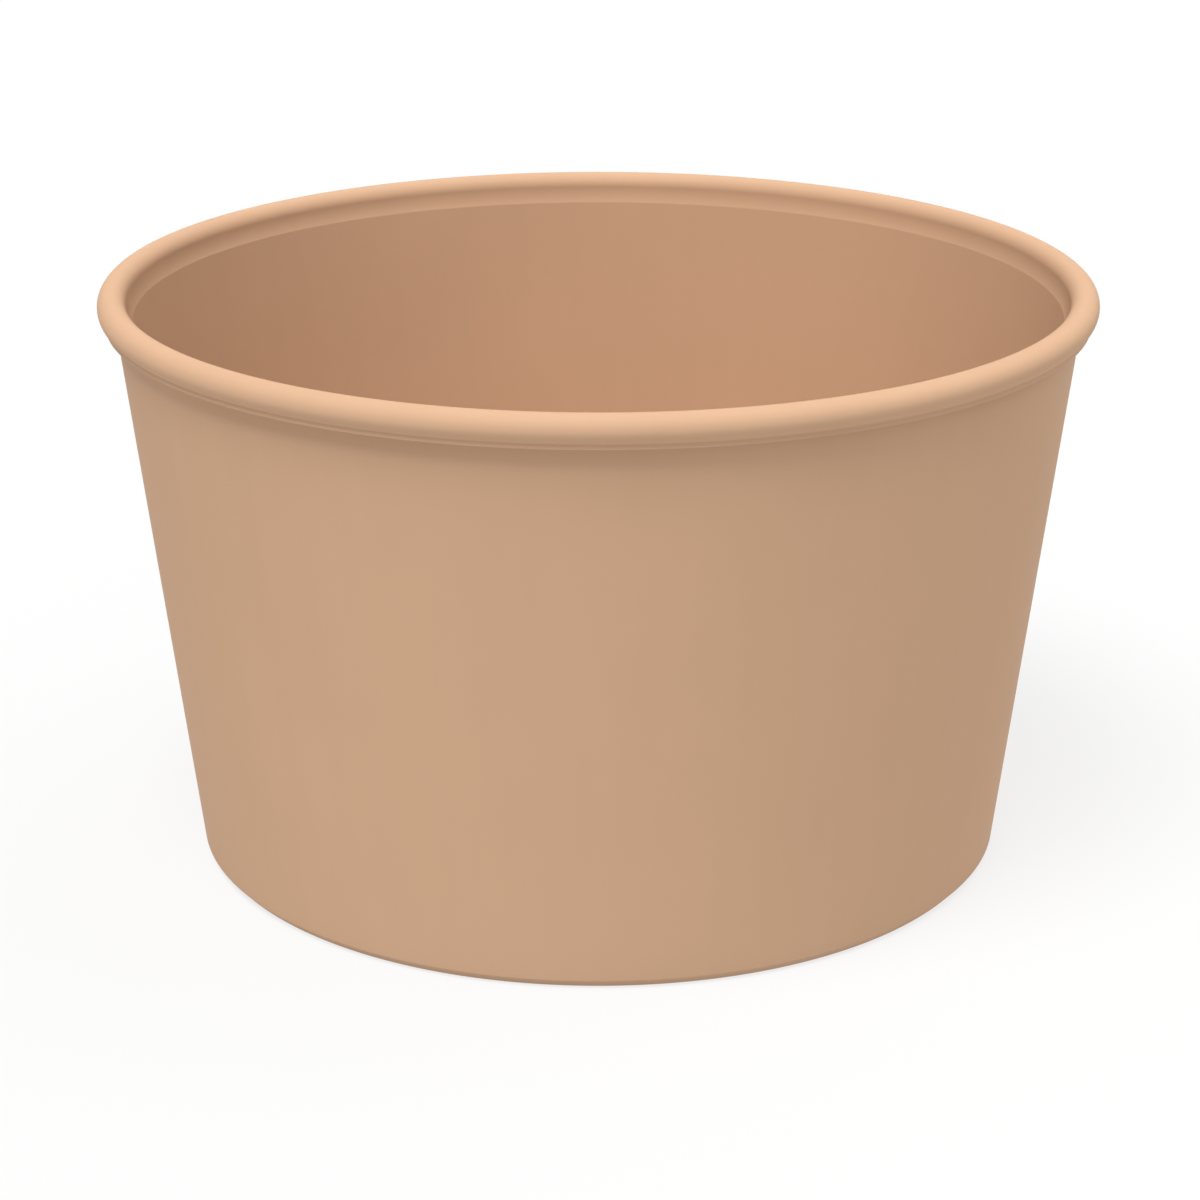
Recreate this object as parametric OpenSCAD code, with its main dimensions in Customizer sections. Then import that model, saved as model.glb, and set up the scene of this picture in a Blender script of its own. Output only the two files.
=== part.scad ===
// Reusable tub-shaped cup, moulded in one piece: a tapered wall with a rounded
// bead round the mouth, a narrow skirt under the bead and a lid seat inside it.
// The origin is on the surface that the cup stands on, on the cup's axis.

/* [Cup] */
// Height of the cup, from the standing surface to the top of the bead
cup_h = 56; // [40:0.5:120]
// Diameter over the bead, the widest part of the cup
rim_d = 95; // [90:0.5:120]
// Diameter that the outer wall runs down to at the standing surface
base_d = 78.7; // [60:0.1:84]
// Thickness of the wall, measured square to it
wall_t = 1.6; // [1.2:0.05:2.4]
// Thickness of the floor
floor_t = 1.8; // [1.2:0.1:4]
// Radius between the floor and the wall inside
corner_r = 3.5; // [1:0.25:8]

/* [Rim] */
// Diameter of the round bead's section
bead_d = 2.7; // [2.2:0.05:3.4]
// Distance from the top of the bead down to the skirt's lower edge
skirt_drop = 3; // [2.6:0.05:6]
// Distance from the bead's widest point in to the skirt's face
skirt_inset = 0.65; // [0.3:0.05:1]
// Width of the skirt's flat underside, from its face in to the wall
skirt_w = 1; // [0.5:0.05:1.5]
// Distance from the top of the bead down to the edge of the lid seat inside
seat_drop = 2.9; // [2:0.05:6]

/* [Foot] */
// Height of the bevel round the foot
bevel_h = 0.8; // [0.3:0.05:2]
// Width of the bevel, from the outer wall's line in to the standing ring
bevel_w = 0.65; // [0.3:0.05:1.5]
// Width of the flat ring that the cup stands on
ring_w = 2.5; // [1.5:0.1:5]
// Height of the recess inside the standing ring
recess_h = 0.9; // [0.4:0.05:2]
// Run of the sloped side of that recess
recess_run = 0.6; // [0.2:0.05:1.5]
// Diameter of the dimple where the plastic was fed in, under the floor
gate_d = 6; // [3:0.5:12]
// Depth of that dimple, whose side slopes at 45 degrees
gate_h = 0.4; // [0.1:0.05:0.6]

/* [Hidden] */

$fn = 180;
// Cuts run this far past the faces that they open
past = 1;
// The cut for the seat is set this far into the bead, so that the two cross cleanly
seat_lap = 0.02;

rim_r = rim_d / 2;
bead_r = bead_d / 2;
bead_z = cup_h - bead_r;
skirt_z = cup_h - skirt_drop;
skirt_r = rim_r - skirt_inset;
seat_z = cup_h - seat_drop;

// The outer wall is one straight line, from the base up to the skirt
base_r = base_d / 2;
slope = (skirt_r - skirt_w - base_r) / skirt_z;
draft = atan(slope);
function outer_r(z) = base_r + slope * z;
function inner_r(z) = outer_r(z) - wall_t / cos(draft);

floor_z = recess_h + floor_t;
corner_z = floor_z + corner_r;
corner_x = inner_r(corner_z) - corner_r / cos(draft);

stand_r = base_r - bevel_w;
recess_r = stand_r - ring_w;
gate_r = gate_d / 2;

// Solid outline of the tapered body, up to the middle of the bead
module body_section() {
    polygon([
        [0, 0],
        [stand_r, 0],
        [outer_r(bevel_h), bevel_h],
        [outer_r(bead_z), bead_z],
        [0, bead_z]
    ]);
}

// Block between the body and the bead, whose outer face is the skirt
module skirt_section() {
    translate([corner_x, skirt_z])
        square([skirt_r - corner_x, bead_z - skirt_z]);
}

module bead_section() {
    translate([rim_r - bead_r, bead_z])
        circle(bead_r);
}

// The space that the cup holds, with the curve round its floor
module hollow_section() {
    polygon([
        [0, floor_z],
        [corner_x, floor_z],
        [corner_x + corner_r * cos(draft), corner_z - corner_r * sin(draft)],
        [inner_r(cup_h), cup_h],
        [0, cup_h]
    ]);
    translate([corner_x, corner_z])
        circle(corner_r);
}

// Cut that leaves the lid seat: a cone from the middle of the bead's inner side
// down to the seat's edge on the wall, carried on as far again into the hollow
module seat_section() {
    top_r = rim_r - bead_d + seat_lap;
    low_z = 2 * seat_z - bead_z;
    low_r = min(2 * inner_r(seat_z) - top_r, inner_r(low_z) - seat_lap);
    polygon([
        [0, low_z],
        [low_r, low_z],
        [top_r, bead_z],
        [top_r, cup_h],
        [0, cup_h]
    ]);
}

// Recess under the floor, with the dimple in its middle
module recess_section() {
    polygon([
        [0, -past],
        [recess_r, -past],
        [recess_r, 0],
        [recess_r - recess_run, recess_h],
        [gate_r, recess_h],
        [gate_r - gate_h, recess_h + gate_h],
        [0, recess_h + gate_h]
    ]);
}

module cup_section() {
    difference() {
        union() {
            body_section();
            skirt_section();
        }
        hollow_section();
        seat_section();
        recess_section();
    }
    bead_section();
}

module cup() {
    color("#c9a488")
        rotate_extrude()
            cup_section();
}

cup();
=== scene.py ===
import math

import bmesh
import bpy
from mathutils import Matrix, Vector


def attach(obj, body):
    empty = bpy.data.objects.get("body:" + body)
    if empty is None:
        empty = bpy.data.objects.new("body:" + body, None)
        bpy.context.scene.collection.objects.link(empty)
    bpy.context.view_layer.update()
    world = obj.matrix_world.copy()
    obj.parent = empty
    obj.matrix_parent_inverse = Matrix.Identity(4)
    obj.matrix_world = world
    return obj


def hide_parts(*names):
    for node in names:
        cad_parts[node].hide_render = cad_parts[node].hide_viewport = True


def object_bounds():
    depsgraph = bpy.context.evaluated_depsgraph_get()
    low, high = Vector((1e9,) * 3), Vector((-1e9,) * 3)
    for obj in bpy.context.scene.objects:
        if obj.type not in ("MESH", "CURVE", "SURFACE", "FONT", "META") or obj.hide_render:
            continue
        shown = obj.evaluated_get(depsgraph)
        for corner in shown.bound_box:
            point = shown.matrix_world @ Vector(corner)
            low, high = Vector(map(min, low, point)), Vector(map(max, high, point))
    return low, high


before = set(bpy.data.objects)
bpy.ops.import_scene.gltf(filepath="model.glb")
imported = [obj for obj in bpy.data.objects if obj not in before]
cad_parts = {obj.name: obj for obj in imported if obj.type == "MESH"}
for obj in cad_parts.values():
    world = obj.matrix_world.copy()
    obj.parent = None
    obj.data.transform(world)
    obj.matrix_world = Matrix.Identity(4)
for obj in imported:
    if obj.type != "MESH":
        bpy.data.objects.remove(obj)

cadLow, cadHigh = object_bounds()
mm = 0.001
print("frame loaded")


# The cup: one profile, drawn with a pen on the XZ plane and spun round Z.
# Lengths are in millimetres, as on a drawing, and become metres at the end.

cup = {
    "height": cadHigh.z / mm,
    "rimAcross": (cadHigh.x - cadLow.x) / mm,
    "baseAcross": 78.7,
    "wall": 1.6,
    "floor": 1.8,
    "insideCorner": 3.5,
    "bead": 2.7,
    "skirtDrop": 3,
    "skirtInset": 0.65,
    "skirtWidth": 1,
    "seatDrop": 2.9,
    "bevelHeight": 0.8,
    "bevelWidth": 0.65,
    "ringWidth": 2.5,
    "recess": 0.9,
    "recessRun": 0.6,
    "dimpleAcross": 6,
    "dimple": 0.4,
    "sharpEdge": 0.06,      # radius of the edges that the mould leaves crisp
    "softEdge": 0.2,        # radius of the edges under the cup
    "tolerance": 0.001,
    "turns": 288,
    "beadSteps": 44,
    "cornerSteps": 14,
    "edgeSteps": 3,
    "longLine": 18,         # lines over this length are cut into rows
    "wallRows": 24,
    "floorRows": 12,
}


def penLine(bm, pen, x, z):
    tip = bmesh.ops.extrude_vert_indiv(bm, verts=[pen])["verts"][0]
    tip.co = (x, 0, z)
    return tip


def penArc(bm, pen, x, z, degrees, steps):
    # turns the pen about (x, z), anticlockwise on the drawing
    drawn = bmesh.ops.spin(bm, geom=[pen], cent=(x, 0, z), axis=(0, -1, 0), dvec=(0, 0, 0),
                           angle=math.radians(degrees), steps=steps, use_merge=False, use_duplicate=False)
    return next(g for g in drawn["geom_last"] if isinstance(g, bmesh.types.BMVert))


def drawCupProfile(bm):
    rim = cup["rimAcross"] / 2
    base = cup["baseAcross"] / 2
    beadRadius = cup["bead"] / 2
    beadX = rim - beadRadius
    beadZ = cup["height"] - beadRadius
    skirtX = rim - cup["skirtInset"]
    skirtZ = cup["height"] - cup["skirtDrop"]
    slope = (skirtX - cup["skirtWidth"] - base) / skirtZ
    taper = math.atan(slope)
    wallAcross = cup["wall"] / math.cos(taper)

    floorZ = cup["recess"] + cup["floor"]
    cornerZ = floorZ + cup["insideCorner"]
    cornerX = base + slope * cornerZ - wallAcross - cup["insideCorner"] / math.cos(taper)
    seatZ = cup["height"] - cup["seatDrop"]
    creaseTurn = math.degrees(math.acos((skirtX - beadX) / beadRadius))
    creaseZ = beadZ - beadRadius * math.sin(math.radians(creaseTurn))
    stand = base - cup["bevelWidth"]
    recessX = stand - cup["ringWidth"]
    dimpleX = cup["dimpleAcross"] / 2
    dimpleZ = cup["recess"] + cup["dimple"]

    # the underside runs from the middle outwards, and the outside from the foot up to the bead
    underside = [(dimpleX - cup["dimple"], dimpleZ), (dimpleX, cup["recess"]),
                 (recessX - cup["recessRun"], cup["recess"]), (recessX, 0)]
    outside = [(stand, 0), (base + slope * cup["bevelHeight"], cup["bevelHeight"]),
               (skirtX - cup["skirtWidth"], skirtZ), (skirtX, skirtZ), (skirtX, creaseZ)]
    crisp = []
    soft = []
    pen = bm.verts.new((0, 0, dimpleZ))
    for x, z in underside:
        pen = penLine(bm, pen, x, z)
        soft.append(pen)
    for x, z in outside:
        pen = penLine(bm, pen, x, z)
        crisp.append(pen)
    pen = penArc(bm, pen, beadX, beadZ, creaseTurn + 180, cup["beadSteps"])
    pen = penLine(bm, pen, base + slope * seatZ - wallAcross, seatZ)
    crisp.append(pen)
    pen = penLine(bm, pen, cornerX + cup["insideCorner"] * math.cos(taper),
                  cornerZ - cup["insideCorner"] * math.sin(taper))
    pen = penArc(bm, pen, cornerX, cornerZ, math.degrees(taper) - 90, cup["cornerSteps"])
    penLine(bm, pen, 0, floorZ)
    return crisp, soft


def shadingNormals(bm):
    # A vertex takes its normal from its largest faces, so that flat sides look flat.
    # The lid seat runs smoothly out of the bead: where they meet, only the bead counts.
    beadSide = (cup["height"] - cup["bead"] / 2) * mm
    normals = []
    for vert in bm.verts:
        faces = vert.link_faces[:]
        if abs(vert.co.z - beadSide) < cup["tolerance"] * mm:
            faces = [f for f in faces if f.calc_center_median().z > beadSide]
        normals.append(sum((f.normal * f.calc_area() for f in faces), Vector()).normalized())
    return normals


def buildCup():
    bm = bmesh.new()
    crisp, soft = drawCupProfile(bm)
    for corners, radius in ((crisp, cup["sharpEdge"]), (soft, cup["softEdge"])):
        bmesh.ops.bevel(bm, geom=corners, offset=radius, offset_type="OFFSET", segments=cup["edgeSteps"],
                        profile=0.5, affect="VERTICES", clamp_overlap=True, material=-1)
    # the long straight lines are the wall's two sides, and the floor's top and underside
    longLines = [e for e in bm.edges if e.calc_length() > cup["longLine"]]
    floors = [e for e in longLines if abs(e.verts[0].co.z - e.verts[1].co.z) < cup["tolerance"]]
    walls = [e for e in longLines if e not in floors]
    bmesh.ops.subdivide_edges(bm, edges=walls, cuts=cup["wallRows"] - 1)
    bmesh.ops.subdivide_edges(bm, edges=floors, cuts=cup["floorRows"] - 1)
    bmesh.ops.spin(bm, geom=bm.verts[:] + bm.edges[:], cent=(0, 0, 0), axis=(0, 0, 1), dvec=(0, 0, 0),
                   angle=math.tau, steps=cup["turns"], use_merge=True, use_duplicate=False)
    bmesh.ops.remove_doubles(bm, verts=bm.verts[:], dist=cup["tolerance"])
    bmesh.ops.scale(bm, vec=(mm, mm, mm), verts=bm.verts[:])
    bmesh.ops.recalc_face_normals(bm, faces=bm.faces[:])
    for face in bm.faces:
        face.smooth = True
    normals = shadingNormals(bm)
    mesh = bpy.data.meshes.new("mouldedCup")
    bm.to_mesh(mesh)
    bm.free()
    mesh.normals_split_custom_set_from_vertices(normals)
    piece = bpy.data.objects.new("mouldedCup", mesh)
    bpy.context.scene.collection.objects.link(piece)
    return piece


# Matte tan polypropylene, seen close: a faint cloudiness where the colour is
# mixed in, flow lines that run up the wall, and the fine grain of the mould.

plastic = {
    "colour": (0.497, 0.313, 0.198),
    "roughness": (0.56, 0.64),
    "specular": 0.03,
    "cloudSize": 14.0,      # millimetres, as are the other sizes and depths here
    "cloudDetail": 3,
    "cloudShift": 0.012,    # share of the colour
    "flowWidth": 2.2,
    "flowHeight": 60.0,
    "flowShift": 0.006,
    "grainSize": 0.22,
    "grainDepth": 0.0035,
    "waveSize": 1.6,        # the mould's hand finish
    "waveDepth": 0.006,
    "fineDetail": 2,        # of the flow lines, the grain and the waves
    "noiseSpan": (0.3, 0.7),    # where noise mostly lies
}


def addNode(tree, kind, **values):
    node = tree.nodes.new(kind)
    for name, value in values.items():
        setattr(node, name, value)
    return node


def noiseOf(tree, coordinates, size, detail):
    # noise whose features are about size millimetres across
    noise = addNode(tree, "ShaderNodeTexNoise")
    noise.inputs["Scale"].default_value = 1 / (size * mm)
    noise.inputs["Detail"].default_value = detail
    tree.links.new(coordinates, noise.inputs["Vector"])
    return noise.outputs["Fac"]


def mapRange(tree, value, before, after):
    # turns a value that runs over before, such as (0, 1), into one that runs over after
    step = addNode(tree, "ShaderNodeMapRange")
    step.inputs["From Min"].default_value = before[0]
    step.inputs["From Max"].default_value = before[1]
    step.inputs["To Min"].default_value = after[0]
    step.inputs["To Max"].default_value = after[1]
    tree.links.new(value, step.inputs["Value"])
    return step.outputs["Result"]


def cupPlastic():
    material = bpy.data.materials.new("cupPlastic")
    material.use_nodes = True
    tree = material.node_tree
    link = tree.links.new
    shader = tree.nodes["Principled BSDF"]
    shader.inputs["Specular IOR Level"].default_value = plastic["specular"]
    place = addNode(tree, "ShaderNodeTexCoord").outputs["Object"]
    span = plastic["noiseSpan"]
    detail = plastic["fineDetail"]

    cloud = noiseOf(tree, place, plastic["cloudSize"], plastic["cloudDetail"])
    stretched = addNode(tree, "ShaderNodeMapping")
    stretched.inputs["Scale"].default_value = (1, 1, plastic["flowWidth"] / plastic["flowHeight"])
    link(place, stretched.inputs["Vector"])
    flow = noiseOf(tree, stretched.outputs["Vector"], plastic["flowWidth"], detail)
    shift = plastic["cloudShift"]
    brightness = addNode(tree, "ShaderNodeMath", operation="ADD")
    link(mapRange(tree, cloud, span, (1 - shift, 1 + shift)), brightness.inputs[0])
    shift = plastic["flowShift"]
    link(mapRange(tree, flow, span, (-shift, shift)), brightness.inputs[1])
    tinted = addNode(tree, "ShaderNodeVectorMath", operation="SCALE")
    tinted.inputs[0].default_value = plastic["colour"]
    link(brightness.outputs[0], tinted.inputs["Scale"])
    link(tinted.outputs["Vector"], shader.inputs["Base Color"])

    grain = noiseOf(tree, place, plastic["grainSize"], detail)
    link(mapRange(tree, grain, span, plastic["roughness"]), shader.inputs["Roughness"])
    wave = noiseOf(tree, place, plastic["waveSize"], detail)
    waves = addNode(tree, "ShaderNodeBump")
    waves.inputs["Distance"].default_value = plastic["waveDepth"] * mm
    link(wave, waves.inputs["Height"])
    grains = addNode(tree, "ShaderNodeBump")
    grains.inputs["Distance"].default_value = plastic["grainDepth"] * mm
    link(grain, grains.inputs["Height"])
    link(waves.outputs["Normal"], grains.inputs["Normal"])
    link(grains.outputs["Normal"], shader.inputs["Normal"])
    return material


mouldedCup = buildCup()
mouldedCup.data.materials.append(cupPlastic())
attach(mouldedCup, "root")
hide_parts("cup")
print("cup built", len(mouldedCup.data.polygons), "faces")


# The studio: white paper all round, lit by large soft lamps far away.
# The camera and reflections see the paper as white, with the cup's soft shadow on it.

studio = {
    "floorAcross": 6.0,     # metres
    "floorGlow": 1.06,      # light that the paper sends up round the cup
    "footShare": 0.72,      # share of it beside the foot: painted shade that stands in for the cup's shadow on the paper
    "footShade": 1.5,       # millimetres from the foot to where the painted shade ends and the paper sends all of it
    "seenColour": (0.135, 0.135, 0.135, 1),     # the part of the seen paper that shadows darken
    "seenGlow": 0.765,      # the part of it that they leave
    "worldFill": 0.44,      # light from all round
    "worldSeen": 1.0,
    # name, degrees round from the front to the right, degrees up, degrees across, strength
    "lamps": [
        ("keySoftbox", 330, 65, 30, 1.08),
        ("fillSoftbox", 120, 50, 60, 0.32),
        ("frontSoftbox", 30, 50, 50, 0.13),
    ],
}


def seenDirectly(tree):
    # 1 for rays from the camera and in reflections, 0 for the light on the object
    path = addNode(tree, "ShaderNodeLightPath")
    seen = path.outputs["Is Camera Ray"]
    for name in ("Is Glossy Ray", "Is Transmission Ray"):
        either = addNode(tree, "ShaderNodeMath", operation="MAXIMUM")
        tree.links.new(seen, either.inputs[0])
        tree.links.new(path.outputs[name], either.inputs[1])
        seen = either.outputs[0]
    return seen


def floorPaper():
    material = bpy.data.materials.new("floorPaper")
    material.use_nodes = True
    tree = material.node_tree
    link = tree.links.new
    tree.nodes.clear()
    output = addNode(tree, "ShaderNodeOutputMaterial")
    # the paper's glow is painted down beside the foot, a painted shade for the cup's contact shadow
    fromAxis = addNode(tree, "ShaderNodeVectorMath", operation="LENGTH")
    link(addNode(tree, "ShaderNodeTexCoord").outputs["Object"], fromAxis.inputs[0])
    foot = cup["baseAcross"] / 2
    paintedShadeSpan = (foot * mm, (foot + studio["footShade"]) * mm)
    strengths = (studio["floorGlow"] * studio["footShare"], studio["floorGlow"])
    paper = addNode(tree, "ShaderNodeEmission")
    link(mapRange(tree, fromAxis.outputs["Value"], paintedShadeSpan, strengths), paper.inputs["Strength"])
    seenPaper = addNode(tree, "ShaderNodeBsdfDiffuse")
    seenPaper.inputs["Color"].default_value = studio["seenColour"]
    glow = addNode(tree, "ShaderNodeEmission")
    glow.inputs["Strength"].default_value = studio["seenGlow"]
    white = addNode(tree, "ShaderNodeAddShader")
    link(seenPaper.outputs["BSDF"], white.inputs[0])
    link(glow.outputs["Emission"], white.inputs[1])
    choice = addNode(tree, "ShaderNodeMixShader")
    link(seenDirectly(tree), choice.inputs["Fac"])
    link(paper.outputs["Emission"], choice.inputs[1])
    link(white.outputs["Shader"], choice.inputs[2])
    link(choice.outputs["Shader"], output.inputs["Surface"])
    return material


def buildFloor():
    bm = bmesh.new()
    half = studio["floorAcross"] / 2
    bmesh.ops.create_grid(bm, x_segments=1, y_segments=1, size=half)
    mesh = bpy.data.meshes.new("floor")
    bm.to_mesh(mesh)
    bm.free()
    floor = bpy.data.objects.new("floor", mesh)
    bpy.context.scene.collection.objects.link(floor)
    floor.data.materials.append(floorPaper())


def buildWorld():
    world = bpy.data.worlds.new("studio")
    world.use_nodes = True
    tree = world.node_tree
    background = tree.nodes["Background"]
    background.inputs["Color"].default_value = (1, 1, 1, 1)
    strength = mapRange(tree, seenDirectly(tree), (0, 1), (studio["worldFill"], studio["worldSeen"]))
    tree.links.new(strength, background.inputs["Strength"])
    bpy.context.scene.world = world


def buildLamps():
    for name, around, up, across, strength in studio["lamps"]:
        data = bpy.data.lights.new(name, "SUN")
        data.energy = strength * math.pi    # a sun of pi lights white paper that faces it to 1
        data.angle = math.radians(across)
        lamp = bpy.data.objects.new(name, data)
        bpy.context.scene.collection.objects.link(lamp)
        lamp.rotation_euler = (math.radians(90 - up), 0, math.radians(around))


# The camera, at the photograph's angle. All in millimetres but the pitch.

view = {
    "lens": 100,
    "sensor": 36,
    "nearest": 10,
    "pitch": 19.65,         # degrees down
    "distance": 329.4,      # from the point that it looks at
    "lookHeight": 23.16,
    "lookSide": 0.153,
}


def buildCamera():
    data = bpy.data.cameras.new("camera")
    data.lens = view["lens"]
    data.sensor_width = view["sensor"]
    data.clip_start = view["nearest"] * mm
    camera = bpy.data.objects.new("camera", data)
    bpy.context.scene.collection.objects.link(camera)
    pitch = math.radians(view["pitch"])
    target = Vector((view["lookSide"], 0, view["lookHeight"])) * mm
    back = Vector((0, -math.cos(pitch), math.sin(pitch))) * view["distance"] * mm
    camera.location = target + back
    camera.rotation_euler = (math.pi / 2 - pitch, 0, 0)
    bpy.context.scene.camera = camera


buildFloor()
buildWorld()
buildLamps()
buildCamera()
bpy.context.scene.view_settings.view_transform = "Standard"
print("studio built")
